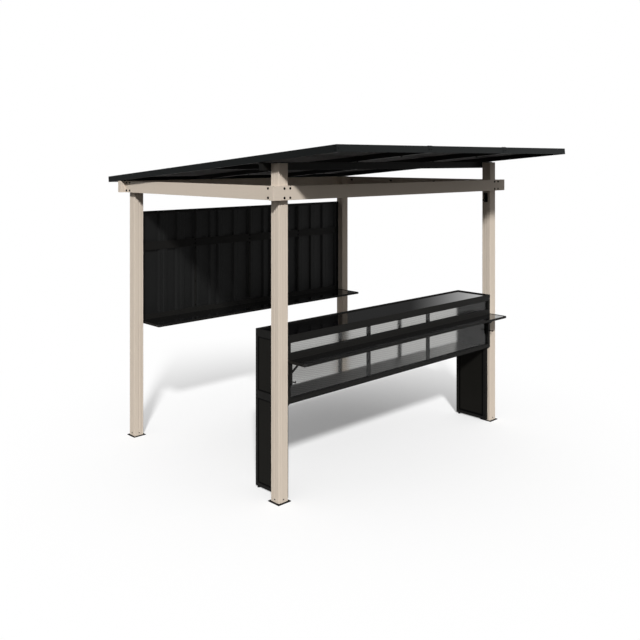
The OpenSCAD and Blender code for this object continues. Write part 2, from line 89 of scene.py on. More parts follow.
# The floor lies a little below the ground's level, clear of the plates
FLOOR_DROP = 0.0003
# Width of the camera's sensor in millimetres
SENSOR_WIDTH = 36


# --- Sizes and colours ---


def length(name, description, default):
    """A length property in metres."""
    return FloatProperty(
        name=name, description=description, default=default, min=0, unit="LENGTH", precision=4
    )


def colour(name, description, default):
    """A linear colour property."""
    return FloatVectorProperty(
        name=name, description=description, default=default, min=0, max=1, size=3, subtype="COLOR"
    )


def angle(name, description, degrees):
    """An angle property, given in degrees."""
    return FloatProperty(
        name=name, description=description, default=math.radians(degrees), subtype="ANGLE"
    )


def amount(name, description, default, subtype="NONE"):
    """A plain number property."""
    return FloatProperty(name=name, description=description, default=default, subtype=subtype)


class FinishSettings(bpy.types.PropertyGroup):
    """Colours of the finishes."""

    beige: colour("Beige", "Powder coat of the posts and rails", (0.56, 0.485, 0.405))
    black: colour("Black", "Powder coat of the bar, shelves and wall frame", (0.0085, 0.0082, 0.0076))
    sheet: colour("Sheet", "Coating of the roof sheets", (0.034, 0.0325, 0.031))
    wall: colour("Wall", "Coating of the wall sheets", (0.0045, 0.0047, 0.0046))
    trim: colour("Trim", "Coating of the fascia and the joint caps", (0.0085, 0.0098, 0.0098))
    plate: colour("Plate", "Coating of the base plates", (0.014, 0.013, 0.012))
    top: colour("Top", "Gloss lacquer of the bar top and shelf tops", (0.003, 0.003, 0.0032))
    panel: colour("Panel", "Sunk panels of the bar's ends", (0.0086, 0.0082, 0.0070))
    board: colour("Board", "Satin face of the bar's bottom board", (0.95, 0.95, 0.94))
    pane: colour("Pane", "Tint of the smoked panes", (0.37, 0.37, 0.36))
    plastic: colour("Plastic", "Feet and plugs", (0.008, 0.008, 0.008))
    fastening: colour("Fastening", "Blackened steel of bolts and screws", (0.001, 0.001, 0.001))
    dust: colour("Dust", "Dust that settles on faces that look up", (0.30, 0.27, 0.23))


class FasteningSettings(bpy.types.PropertyGroup):
    """Sizes of bolts, screws and rivets."""

    bolt_d: length("Bolt head", "Diameter of the bolt heads on the rails", 0.015)
    bolt_pitch: length("Bolt spacing", "Distance between the two columns of bolts", 0.055)
    bolt_edge: length("Bolt edge", "Distance of a bolt from the edge of its rail", 0.017)
    foot_screw_d: length("Foot screw", "Diameter of the screw heads low on the posts", 0.008)
    foot_screw_z: length("Foot screw height", "Height of a foot screw above its base plate", 0.022)
    rivet_d: length("Rivet", "Diameter of the rivets in the trim", 0.009)
    rivet_edge: length("Rivet edge", "Distance of a rivet from the end of its trim", 0.016)
    rivet_gap: length("Rivet gap", "Distance between two rivets side by side", 0.024)
    rivet_pitch: length("Rivet spacing", "Longest distance between the rivets along a cap", 0.36)
    sheet_screw_d: length("Sheet screw", "Washer diameter of the screws in the roof sheets", 0.015)
    sheet_screw_edge: length("Sheet screw edge", "Distance of the end rows from the sheets' ends", 0.06)
    rafter_bolt_d: length("Rafter bolt", "Diameter of the bolts under the inner rafters", 0.020)
    rafter_bolt_out: length("Outer rafter bolt", "Distance of the outer bolts from the beam", 0.49)
    rafter_bolt_in: length("Inner rafter bolt", "Distance of the other bolts from what they hold", 0.03)
    panel_screw_d: length("Panel screw", "Diameter of the screws in the bar's end frames", 0.008)
    panel_screw_pitch: length("Panel screw spacing", "Distance between the panel screws", 0.213)
    panel_screw_z: length("First panel screw", "Height of the lowest panel screw", 0.042)
    panel_screw_front: length("Front screw line", "Distance from the bar's front to its screws", 0.044)
    panel_screw_back: length("Back screw line", "Distance from the bar's back to its screws", 0.0125)
    wall_bolt_d: length("Wall bolt", "Diameter of the bolts beside the wall's middle rail", 0.013)
    wall_bolt_top: length("Top wall bolt", "Distance of the top bolt below the rail's top", 0.014)
    wall_bolt_pitch: length("Wall bolt spacing", "Distance from one wall bolt to the next", 0.038)
    wall_screw_d: length("Wall screw", "Diameter of the screws low on the wall's uprights", 0.010)
    wall_screw_low: length("Low wall screw", "Height of the lower wall screws over the frame", 0.085)
    wall_screw_high: length("High wall screw", "Height of the upper wall screws over the frame", 0.31)
    bracket_screw_d: length("Bracket screw", "Diameter of the screws in the brackets", 0.008)
    bracket_screw_edge: length("Bracket screw edge", "Distance of a screw from its bracket's end", 0.012)


class TrimSettings(bpy.types.PropertyGroup):
    """Sizes of edges, seals and caps."""

    edge_round: length("Edge", "Rounding of folded and sawn edges", 0.0012)
    seal_w: length("Seal", "Width of the seals at the wall sheets' ends", 0.0014)
    seal_h: length("Seal height", "Height of those seals", 0.0024)
    gasket_w: length("Gasket", "Width of the gaskets round the panes", 0.004)
    gasket_t: length("Gasket thickness", "Depth of the gaskets in front of the panes", 0.003)
    shelf_rail_h: length("Shelf rail", "Height of the rail between the upper and lower panes", 0.057)
    corner_cap: length("Corner cap", "Side of the caps on the shelves' free corners", 0.024)
    corner_rise: length("Corner rise", "How far those caps stand proud", 0.0012)
    corner_round: length("Corner rounding", "Rounding of those caps", 0.004)
    skin_t: length("Skin", "Thickness of the skins on the end panels and the bottom board", 0.0004)
    # The near-black strips round the end panels are painted shade of the panels' recesses
    outer_shade_strip_w: length("Outer bead", "Width of the dark beads round the outer end panels", 0.010)
    inner_shade_strip_w: length("Inner bead", "Width of the dark beads round the inner end panels", 0.018)
    skin_inset: length("Board face inset", "Distance of the bottom board's face from its edges", 0.003)
    rail_cap_t: length("Rail cap", "Thickness of the caps on the rails' ends", 0.0015)


class StageSettings(bpy.types.PropertyGroup):
    """Floor, light and camera."""

    floor: colour("Floor", "Colour of the floor as the camera sees it", (0.9, 0.9, 0.9))
    bounce: colour("Bounce", "Colour of the floor as it lights the object", (0.13, 0.1, 0.075))
    floor_size: length("Floor size", "Side of the floor", 120.0)
    floor_glow: amount("Floor glow", "Share of plain white in the near floor", 0.14)
    glow_start: length("Glow start", "Distance at which the floor begins to fade to white", 0.3)
    glow_end: length("Glow end", "Distance at which the floor is white", 4.3)
    sun: amount("Sun", "Strength of the sun", 4.05)
    sun_spread: angle("Sun spread", "Angle that the sun fills, which softens shadows", 5)
    sun_height: angle("Sun height", "Elevation of the sun", 33.2)
    sun_heading: angle("Sun heading", "Direction in which shadows fall, from +X towards +Y", 50)
    sky: amount("Sky", "Strength of the even sky light", 0.44)
    dim_sky: amount("Dim sky", "Strength of the sky in the reflections' dark half", 0.055)
    window_heading: angle("Window heading", "Middle of the bright half that reflections show", -49)
    window_edge: angle("Window edge", "Angle over which reflections turn from dark to bright", 6)
    camera_distance: length("Camera distance", "Distance from the near post's corner", 5.730)
    camera_bearing: angle("Camera bearing", "Direction from the camera to the near post", 49)
    camera_heading: angle("Camera heading", "Direction in which the camera looks", 45.957)
    camera_height: length("Camera height", "Height of the camera above the floor", 2.4695)
    camera_lens: amount("Lens", "Focal length in millimetres", 44.99, "DISTANCE_CAMERA")
    camera_shift_x: amount("Shift X", "Lens shift sideways", -0.0022)
    camera_shift_y: amount("Shift Y", "Lens shift upwards", -0.2502)


# --- Shader groups ---


def math_node(tree, operation, first, second):
    """A math node whose operands are sockets or numbers; returns its output."""
    node = tree.nodes.new("ShaderNodeMath")
    node.operation = operation
    for index, operand in enumerate((first, second)):
        if isinstance(operand, (int, float)):
            node.inputs[index].default_value = operand
        else:
            tree.links.new(operand, node.inputs[index])
    return node.outputs[0]


def set_inputs(node, values):
    """Set a node's inputs by their names."""
    for name, value in values.items():
        node.inputs[name].default_value = value


def group_node(tree, name):
    """A node that uses one of the shader groups."""
    node = tree.nodes.new("ShaderNodeGroup")
    node.node_tree = bpy.data.node_groups[name]
    return node


def toned(tree, colour_in, tone):
    """A colour times a number; returns the result."""
    shade = tree.nodes.new("ShaderNodeCombineColor")
    for channel in shade.inputs:
        tree.links.new(tone, channel)
    return mix_colour(tree, 1.0, colour_in, shade.outputs[0], "MULTIPLY")


def new_group(name, inputs, outputs):
    """A shader group: inputs with their defaults, outputs with their kinds of socket.

    Returns its tree, the sockets of what it is given, and those of its result.
    """
    tree = bpy.data.node_groups.new(name, "ShaderNodeTree")
    for socket, default in inputs.items():
        kind = "NodeSocketColor" if isinstance(default, tuple) else "NodeSocketFloat"
        given = tree.interface.new_socket(name=socket, in_out="INPUT", socket_type=kind)
        given.default_value = default
    for socket, kind in outputs.items():
        tree.interface.new_socket(name=socket, in_out="OUTPUT", socket_type=kind)
    given = tree.nodes.new("NodeGroupInput").outputs
    result = tree.nodes.new("NodeGroupOutput").inputs
    return tree, given, result


def noise_node(tree, vector, scale, detail):
    """A noise texture read at a vector; scale is a socket or a number. Returns its value."""
    node = tree.nodes.new("ShaderNodeTexNoise")
    node.inputs["Detail"].default_value = detail
    if isinstance(scale, (int, float)):
        node.inputs["Scale"].default_value = scale
    else:
        tree.links.new(scale, node.inputs["Scale"])
    tree.links.new(vector, node.inputs["Vector"])
    return node.outputs["Fac"]


def stretched(tree, vector, scale):
    """A vector scaled by a different factor along each axis."""
    node = tree.nodes.new("ShaderNodeMapping")
    node.inputs["Scale"].default_value = scale
    tree.links.new(vector, node.inputs["Vector"])
    return node.outputs["Vector"]


def mix_colour(tree, factor, first, second, blend="MIX"):
    """A colour mix; each operand is a socket or a colour. Returns the result."""
    node = tree.nodes.new("ShaderNodeMix")
    node.data_type = "RGBA"
    node.blend_type = blend
    sockets = (node.inputs["Factor"], node.inputs[6], node.inputs[7])
    for socket, value in zip(sockets, (factor, first, second)):
        if isinstance(value, (int, float, tuple)):
            socket.default_value = value
        else:
            tree.links.new(value, socket)
    return node.outputs[2]


def swing(tree, noise, reach):
    """A noise's swing about its middle, times a reach."""
    return math_node(tree, "MULTIPLY", math_node(tree, "SUBTRACT", noise, 0.5), reach)


def coated_surface_group():
    """Colour, roughness and height of a sprayed coat: orange peel, faint mottle, runs and dust."""
    tree, given, result = new_group(
        "coated_surface",
        {
            "Colour": (0.5, 0.5, 0.5, 1),
            "Dust Colour": (0.3, 0.27, 0.23, 1),
            "Dust": 0.05,
            "Mottle": 0.05,
            "Runs": 0.04,
            "Peel Scale": 900,
            "Roughness": 0.4,
            "Wear": 0.1,
        },
        {
            "Colour": "NodeSocketColor",
            "Roughness": "NodeSocketFloat",
            "Height": "NodeSocketFloat",
        },
    )
    place = tree.nodes.new("ShaderNodeTexCoord").outputs["Object"]

    # Mottle in patches of a hand's width, and runs drawn out from top to bottom
    mottle = swing(tree, noise_node(tree, place, scale=9, detail=4), given["Mottle"])
    drawn_out = stretched(tree, place, (55, 55, 1.2))
    runs = swing(tree, noise_node(tree, drawn_out, scale=1, detail=3), given["Runs"])
    tone = math_node(tree, "ADD", mottle, runs)
    tone = math_node(tree, "ADD", math_node(tree, "MULTIPLY", tone, 2), 1)
    coat = toned(tree, given["Colour"], tone)

    # Dust in fine patches, only where the surface looks up
    facing = tree.nodes.new("ShaderNodeSeparateXYZ")
    tree.links.new(tree.nodes.new("ShaderNodeNewGeometry").outputs["Normal"], facing.inputs[0])
    upward = math_node(tree, "POWER", math_node(tree, "MAXIMUM", facing.outputs["Z"], 0), 2)
    patches = noise_node(tree, place, scale=26, detail=6)
    settled = math_node(tree, "MULTIPLY", upward, patches)
    dusty = math_node(tree, "MULTIPLY", settled, given["Dust"])
    tree.links.new(mix_colour(tree, dusty, coat, given["Dust Colour"]), result["Colour"])

    # Wear that makes patches a little duller or shinier
    wear = swing(tree, noise_node(tree, place, scale=38, detail=5), given["Wear"])
    rough = math_node(tree, "ADD", math_node(tree, "ADD", wear, given["Roughness"]), dusty)
    tree.links.new(rough, result["Roughness"])
    peel = noise_node(tree, place, given["Peel Scale"], detail=2)
    tree.links.new(peel, result["Height"])


def pressed_lines_group():
    """Colour and height of a pane with fine slanting lines and a soft frosting."""
    tree, given, result = new_group(
        "pressed_lines",
        {
            "Colour": (0.4, 0.4, 0.4, 1),
            "Pitch": 0.017,
            "Slant": 0.29,
            "Depth": 0.075,
            "Frost Scale": 420,
            "Frost": 0.5,
        },
        {"Colour": "NodeSocketColor", "Height": "NodeSocketFloat"},
    )
    place = tree.nodes.new("ShaderNodeTexCoord").outputs["Object"]
    axes = tree.nodes.new("ShaderNodeSeparateXYZ")
    tree.links.new(place, axes.inputs[0])
    slanted = math_node(
        tree, "ADD", axes.outputs["Z"], math_node(tree, "MULTIPLY", axes.outputs["X"], given["Slant"])
    )
    turns = math_node(tree, "DIVIDE", slanted, given["Pitch"])
    wave = math_node(tree, "SINE", math_node(tree, "MULTIPLY", turns, math.tau), 0)
    tone = math_node(tree, "ADD", math_node(tree, "MULTIPLY", wave, given["Depth"]), 1)
    tree.links.new(toned(tree, given["Colour"], tone), result["Colour"])
    frost = noise_node(tree, place, given["Frost Scale"], detail=2)
    frost = math_node(tree, "MULTIPLY", frost, given["Frost"])
    tree.links.new(math_node(tree, "ADD", wave, frost), result["Height"])


# --- Materials ---


def new_material(name):
    """A node material with its Principled shader; returns the material, tree and shader."""
    material = bpy.data.materials.new(name)
    material.use_nodes = True
    tree = material.node_tree
    return material, tree, tree.nodes["Principled BSDF"]


def bump(tree, shader, height, distance):
    """Feed a height to a shader's normal."""
    node = tree.nodes.new("ShaderNodeBump")
    node.inputs["Distance"].default_value = distance
    tree.links.new(height, node.inputs["Height"])
    tree.links.new(node.outputs["Normal"], shader.inputs["Normal"])


def coated(name, tint, peel_depth, gloss, ior=1.5, metallic=0.0, **look):
    """A coated metal or plastic; look holds the rest of the group's values."""
    material, tree, shader = new_material(name)
    group = group_node(tree, "coated_surface")
    look.update(colour=(*tint, 1), dust_colour=(*bpy.context.scene.gazebo_finish.dust, 1))
    set_inputs(group, {key.replace("_", " ").title(): value for key, value in look.items()})
    tree.links.new(group.outputs["Colour"], shader.inputs["Base Color"])
    tree.links.new(group.outputs["Roughness"], shader.inputs["Roughness"])
    set_inputs(shader, {"Specular IOR Level": gloss, "IOR": ior, "Metallic": metallic})
    bump(tree, shader, group.outputs["Height"], peel_depth)
    return material


def smoked_pane(name, tint, roughness, ior, line_depth):
    """Smoked acrylic, slightly frosted, with fine slanting lines."""
    material, tree, shader = new_material(name)
    group = group_node(tree, "pressed_lines")
    set_inputs(group, {"Colour": (*tint, 1)})
    tree.links.new(group.outputs["Colour"], shader.inputs["Base Color"])
    set_inputs(shader, {"Roughness": roughness, "IOR": ior, "Transmission Weight": 1.0})
    bump(tree, shader, group.outputs["Height"], line_depth)
    return material


def make_materials():
    """Build the shader groups and every finish once; returns them by name."""
    coated_surface_group()
    pressed_lines_group()
    tint = bpy.context.scene.gazebo_finish
    return {
        "beige": coated(
            "beige_powder_coat", tint.beige, dust=0.05, mottle=0.012, runs=0.02,
            roughness=0.5, wear=0.12, peel_scale=700, peel_depth=0.00008, gloss=0.2,
        ),
        "black": coated(
            "black_powder_coat", tint.black, dust=0.006, mottle=0.10, runs=0.08,
            roughness=0.5, wear=0.14, peel_scale=900, peel_depth=0.00006, gloss=0.06,
        ),
        "sheet": coated(
            "black_coated_sheet", tint.sheet, dust=0.006, mottle=0.12, runs=0.12,
            roughness=0.8, wear=0.1, peel_scale=500, peel_depth=0.00004, gloss=0.22,
        ),
        "wall": coated(
            "black_coated_wall_sheet", tint.wall, dust=0.003, mottle=0.12, runs=0.12,
            roughness=0.6, wear=0.12, peel_scale=500, peel_depth=0.00004, gloss=0.17,
        ),
        "trim": coated(
            "black_folded_trim", tint.trim, dust=0.015, mottle=0.08, runs=0.04,
            roughness=0.45, wear=0.12, peel_scale=900, peel_depth=0.00005, gloss=0.07,
        ),
        "plate": coated(
            "black_base_plate", tint.plate, dust=0.008, mottle=0.2, runs=0.0,
            roughness=0.6, wear=0.2, peel_scale=700, peel_depth=0.00008, gloss=0.05,
        ),
        "top": coated(
            "black_gloss_top", tint.top, dust=0.002, mottle=0.05, runs=0.0,
            roughness=0.05, wear=0.02, peel_scale=60, peel_depth=0.00001, gloss=0.5, ior=2.6,
        ),
        "board": coated(
            "satin_board", tint.board, dust=0.002, mottle=0.05, runs=0.0,
            roughness=0.33, wear=0.03, peel_scale=60, peel_depth=0.00001, gloss=0.5, metallic=1.0,
        ),
        "panel": coated(
            "black_satin_panel", tint.panel, dust=0.004, mottle=0.10, runs=0.04,
            roughness=0.38, wear=0.05, peel_scale=300, peel_depth=0.00002, gloss=0.03,
        ),
        "plastic": coated(
            "black_plastic", tint.plastic, dust=0.01, mottle=0.05, runs=0.0,
            roughness=0.55, wear=0.1, peel_scale=1500, peel_depth=0.00004, gloss=0.2,
        ),
        "fastening": coated(
            "blackened_steel", tint.fastening, dust=0.002, mottle=0.15, runs=0.0,
            roughness=0.5, wear=0.1, peel_scale=1200, peel_depth=0.00002, gloss=0.03,
        ),
        "pane": smoked_pane("smoked_pane", tint.pane, roughness=0.11, ior=1.3, line_depth=0.00004),
    }


# The solids of each finish, by the starts of their names
FINISH_NODES = {
    "beige": ("post_", "rail_"),
    "plate": ("base_plate_",),
    "black": (
        "beam_high_front", "rafter_", "purlins", "bar_front_frame", "bar_back_frame", "bar_end_",
        "bar_bottom_board", "front_shelf_frame", "front_shelf_brackets", "wall_frame",
        "wall_middle_rail", "back_shelf_frame",
    ),
    "sheet": ("roof_sheet_",),
    "trim": ("roof_joint_caps", "fascia_"),
    "top": ("bar_top", "front_shelf_top", "back_shelf_top"),
    "pane": ("bar_panes",),
    "plastic": ("bar_feet",),
    "wall": ("wall_sheet_",),
    "fastening": ("hooks",),
}

# Filled by the finishes' operator, by the finish's name
MATERIALS = {}


# --- Mesh helpers ---


def along(origin, axis):
    """A place at origin whose Z axis points along axis."""
    rotation = Vector(axis).to_track_quat("Z", "Y").to_matrix().to_4x4()
    return Matrix.Translation(origin) @ rotation


def lathe(bm, place, profile, segments):
    """Turn (radius, height) points about a place's Z axis into a closed solid."""
    rings = []
    for radius, height in profile:
        count = segments if radius > 0 else 1
        angles = [math.tau * k / count for k in range(count)]
        spots = [Vector((radius * math.cos(a), radius * math.sin(a), height)) for a in angles]
        rings.append([bm.verts.new(place @ spot) for spot in spots])
    for low, high in zip(rings, rings[1:]):
        for k in range(segments):
            turn = ((low, k), (low, k + 1), (high, k + 1), (high, k))
            corners = list(dict.fromkeys(ring[n % len(ring)] for ring, n in turn))
            if len(corners) > 2:
                bm.faces.new(corners)


def button_bolt(bm, place, diameter):
    """A button head bolt on a washer, with a hexagon socket."""
    r = diameter / 2
    lathe(bm, place, [(0, 0), (1.3 * r, 0), (1.3 * r, 0.14 * r), (0, 0.14 * r)], segments=20)
    head = [
        (0, 0.14 * r), (r, 0.14 * r), (0.98 * r, 0.34 * r), (0.84 * r, 0.58 * r),
        (0.62 * r, 0.74 * r), (0.46 * r, 0.78 * r),
    ]
    lathe(bm, place, head + [(0.44 * r, 0.36 * r), (0, 0.36 * r)], segments=18)


def hex_screw(bm, place, diameter):
    """A self tapping screw: a washer, a flange and a hexagon head."""
    r = diameter / 2
    flange = [(0, 0), (r, 0), (0.96 * r, 0.12 * r), (0.6 * r, 0.26 * r), (0, 0.26 * r)]
    lathe(bm, place, flange, segments=20)
    head = [(0, 0.24 * r), (0.56 * r, 0.24 * r), (0.56 * r, 0.66 * r), (0.47 * r, 0.76 * r)]
    lathe(bm, place, head + [(0, 0.76 * r)], segments=6)


def rivet(bm, place, diameter):
    """A blind rivet's dome with the pin's end in its middle."""
    r = diameter / 2
    dome = [(0, 0), (r, 0), (0.98 * r, 0.14 * r), (0.82 * r, 0.34 * r), (0.5 * r, 0.48 * r)]
    lathe(bm, place, dome + [(0.3 * r, 0.5 * r), (0.26 * r, 0.4 * r), (0, 0.4 * r)], segments=16)


def box_solid(bm, low, high):
    """A plain block between two corners, part of a larger piece."""
    corners = [bm.verts.new(corner) for corner in itertools.product(*zip(low, high))]
    for face in ((0, 1, 3, 2), (4, 6, 7, 5), (0, 4, 5, 1), (2, 3, 7, 6), (0, 2, 6, 4), (1, 5, 7, 3)):
        bm.faces.new([corners[k] for k in face])


def add_object(name, data):
    """Put a new object into the scene."""
    obj = bpy.data.objects.new(name, data)
    bpy.context.scene.collection.objects.link(obj)
    return obj


def add_mesh(name, bm):
    """Turn a finished bmesh into an object."""
    mesh = bpy.data.meshes.new(name)
    bm.to_mesh(mesh)
    bm.free()
    return add_object(name, mesh)


def piece(name, bm, finish, smooth=True):
    """Make an object of the mesh, give it its finish and let it ride on the frame."""
    bmesh.ops.recalc_face_normals(bm, faces=bm.faces)
    obj = add_mesh(name, bm)
    obj.data.materials.append(MATERIALS[finish])
    if smooth:
        obj.data.shade_smooth()
        obj.data.set_sharp_from_angle(angle=SHARP_BEYOND)
    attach(obj, "root")
    return obj


def fastenings(name, bm):
    """Make a piece of bolts, screws or rivets."""
    piece(name, bm, "fastening")


def soften(obj, width):
    """Round the sharp edges of a solid a little."""
    weld = obj.modifiers.new("weld", "WELD")
    weld.merge_threshold = WELD
    bevel = obj.modifiers.new("bevel", "BEVEL")
    bevel.width = width
    bevel.segments = 2
    bevel.limit_method = "ANGLE"
    bevel.angle_limit = ROUNDED_BEYOND


def centre(low, high):
    """The middle of a box."""
    return (low + high) / 2


@functools.lru_cache(maxsize=None)
def surface(node):
    """A solid's faces, ready for rays."""
    obj = NODES[node]
    corners = [obj.matrix_world @ vertex.co for vertex in obj.data.vertices]
    return BVHTree.FromPolygons(corners, [face.vertices[:] for face in obj.data.polygons])


def seat(node, start, direction):
    """Where a ray meets a solid: the spot, and the way that its surface faces there."""
    spot, normal, *_ = surface(node).ray_cast(Vector(start), Vector(direction))
    if spot is None:
        raise RuntimeError(f"nothing of {node} lies ahead of {tuple(start)}")
    return spot, normal if normal.dot(Vector(direction)) < 0 else -normal


def steps_along(low, high, step):
    """Even places between two ends, about a step apart."""
    count = int((high - low) / step)
    return [low + (k + 0.5) * (high - low) / count for k in range(count)]


def runs_of(places, step):
    """Split rising places into runs whose members lie about a step apart."""
    runs = []
    for place in places:
        if not runs or place - runs[-1][-1] > 1.5 * step:
            runs.append([])
        runs[-1].append(place)
    return runs


def crests(node, y):
    """The middles of a ribbed sheet's flat crests along X, on its top face at one Y."""
    low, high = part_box(node)
    places = steps_along(low.x, high.x, RAY_STEP)
    heights = [seat(node, (x, y, high.z + CLEAR), (0, 0, -1))[0].z for x in places]
    level = max(heights) - CREST_LEVEL
    crest = [x for x, z in zip(places, heights) if z > level]
    return [(run[0] + run[-1]) / 2 for run in runs_of(crest, RAY_STEP)]


def evenly(low, high, pitch):
    """Even places from low to high, no further apart than pitch."""
    count = max(1, math.ceil((high - low) / pitch))
    return [low + k * (high - low) / count for k in range(count + 1)]


def level_direction(heading):
    """The level direction at an angle from +X towards +Y."""
    return Vector((math.cos(heading), math.sin(heading), 0))


# --- Operators ---


class GAZEBO_OT_finishes(bpy.types.Operator):
    """Give every solid of the frame its finish and soften its edges"""

    bl_idname = "gazebo.finishes"
    bl_label = "Finishes"

    def execute(self, context):
        MATERIALS.update(make_materials())
        round_by = context.scene.gazebo_trim.edge_round
        for name, obj in NODES.items():
            finish = next((f for f, starts in FINISH_NODES.items() if name.startswith(starts)), None)
            if finish is None:
                raise RuntimeError(f"no finish is named for {name}")
            obj.data.materials.clear()
            obj.data.materials.append(MATERIALS[finish])
            if finish not in SHARP_FINISHES:
                soften(obj, round_by)
        return {"FINISHED"}


class GAZEBO_OT_rail_bolts(bpy.types.Operator):
    """Bolt the four rails to the posts, four bolts at each crossing"""

    bl_idname = "gazebo.rail_bolts"
    bl_label = "Rail bolts"

    def execute(self, context):
        size = context.scene.gazebo_fastening
        for depth in FRONT_BACK:
            for side in LEFT_RIGHT:
                post = centre(*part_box(f"post_{depth}_{side}"))
                bm = bmesh.new()
                for axis, rail in ((1, f"rail_{depth}"), (0, f"rail_{side}")):
                    self.crossing(bm, size, post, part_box(rail), axis)
                fastenings(f"rail_bolts_{depth}_{side}", bm)
        return {"FINISHED"}

    def crossing(self, bm, size, post, rail_box, axis):
        """Four bolts through one rail's outer face, which looks along the axis, into the post."""
        low, high = rail_box
        out = -1 if low[axis] < 0 else 1
        direction = Vector((0, 0, 0))
        direction[axis] = out
        for offset in (-size.bolt_pitch / 2, size.bolt_pitch / 2):
            for z in (low.z + size.bolt_edge, high.z - size.bolt_edge):
                spot = Vector((post.x + offset, post.y + offset, z))
                spot[axis] = low[axis] if out < 0 else high[axis]
                button_bolt(bm, along(spot, direction), size.bolt_d)


class GAZEBO_OT_foot_screws(bpy.types.Operator):
    """Put one screw low on each face of each post, into the base plate's sleeve"""

    bl_idname = "gazebo.foot_screws"
    bl_label = "Foot screws"

    def execute(self, context):
        size = context.scene.gazebo_fastening
        bm = bmesh.new()
        for depth in FRONT_BACK:
            for side in LEFT_RIGHT:
                low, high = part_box(f"post_{depth}_{side}")
                middle = centre(low, high)
                half = (high.x - low.x) / 2
                for direction in ((1, 0, 0), (-1, 0, 0), (0, 1, 0), (0, -1, 0)):
                    spot = middle + half * Vector(direction)
                    spot.z = low.z + size.foot_screw_z
                    button_bolt(bm, along(spot, direction), size.foot_screw_d)
        fastenings("foot_screws", bm)
        return {"FINISHED"}


class GAZEBO_OT_roof_fastenings(bpy.types.Operator):
    """Screw down the roof sheets and rivet the joint caps and the fascia"""

    bl_idname = "gazebo.roof_fastenings"
    bl_label = "Roof fastenings"

    def execute(self, context):
        size = context.scene.gazebo_fastening
        for part in ("left", "middle", "right"):
            self.sheet_screws(size, f"roof_sheet_{part}")
        self.cap_rivets(size)
        self.fascia_rivets(size)
        return {"FINISHED"}

    def sheet_screws(self, size, sheet):
        """A row of screws at each end of a sheet and one over the purlins, on its crests."""
        low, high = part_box(sheet)
        rows = (
            low.y + size.sheet_screw_edge,
            centre(*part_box("purlins")).y,
            high.y - size.sheet_screw_edge,
        )
        bm = bmesh.new()
        for y in rows:
            for x in crests(sheet, y):
                spot, normal = seat(sheet, (x, y, high.z + CLEAR), (0, 0, -1))
                hex_screw(bm, along(spot, normal), size.sheet_screw_d)
        fastenings(f"{sheet}_screws", bm)

    def cap_rivets(self, size):
        """Pairs of rivets along the joint caps, and on their folded ends."""
        low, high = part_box("roof_joint_caps")
        sheet_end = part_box("roof_sheet_middle")[1].x
        bm = bmesh.new()
        for joint in (-sheet_end, sheet_end):
            for offset in (-size.rivet_gap / 2, size.rivet_gap / 2):
                x = joint + offset
                for y in evenly(low.y + size.rivet_edge, high.y - size.rivet_edge, size.rivet_pitch):
                    spot, normal = seat("roof_joint_caps", (x, y, high.z + CLEAR), (0, 0, -1))
                    rivet(bm, along(spot, normal), size.rivet_d)
                for depth, ahead in (("front", 1), ("back", -1)):
                    z = centre(*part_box(f"fascia_{depth}")).z
                    start = (x, -ahead * 2 * high.y, z)
                    spot, normal = seat("roof_joint_caps", start, (0, ahead, 0))
                    rivet(bm, along(spot, normal), size.rivet_d)
        fastenings("joint_cap_rivets", bm)

    def fascia_rivets(self, size):
        """One rivet at each end of the front and back fascia, two at each end of the sides."""
        bm = bmesh.new()
        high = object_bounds()[1]
        for depth, ahead in (("front", 1), ("back", -1)):
            face_low, face_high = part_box(f"fascia_{depth}")
            z = centre(face_low, face_high).z
            for x in (face_low.x + size.rivet_edge, face_high.x - size.rivet_edge):
                spot, normal = seat(f"fascia_{depth}", (x, -ahead * 2 * high.y, z), (0, ahead, 0))
                rivet(bm, along(spot, normal), size.rivet_d)
            for side, aside in (("left", 1), ("right", -1)):
                side_low, side_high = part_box(f"fascia_{side}")
                y = side_low.y + size.rivet_edge if ahead > 0 else side_high.y - size.rivet_edge
                for offset in (-size.rivet_gap / 2, size.rivet_gap / 2):
                    start = (-aside * 2 * high.x, y, z + offset)
                    spot, normal = seat(f"fascia_{side}", start, (aside, 0, 0))
                    rivet(bm, along(spot, normal), size.rivet_d)
        fastenings("fascia_rivets", bm)


class GAZEBO_OT_rafter_bolts(bpy.types.Operator):
    """Bolt the inner rafters from below where the beam, the purlins and the back rail cross"""

    bl_idname = "gazebo.rafter_bolts"
    bl_label = "Rafter bolts"

    def execute(self, context):
        size = context.scene.gazebo_fastening
        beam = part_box("beam_high_front")[0].y
        purlin_low, purlin_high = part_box("purlins")
        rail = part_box("rail_back")[0].y
        rows = (
            beam - size.rafter_bolt_out,
            beam - size.rafter_bolt_in,
            purlin_low.y - size.rafter_bolt_in,
            purlin_high.y + size.rafter_bolt_in,
            (purlin_high.y + rail) / 2,
            rail - size.rafter_bolt_in,
        )
        bm = bmesh.new()
        for side in LEFT_RIGHT:
            rafter = f"rafter_inner_{side}"
            middle = centre(*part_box(rafter))
            for y in rows:
                spot, normal = seat(rafter, (middle.x, y, 0), (0, 0, 1))
                hex_screw(bm, along(spot, normal), size.rafter_bolt_d)
        fastenings("rafter_bolts", bm)
        return {"FINISHED"}


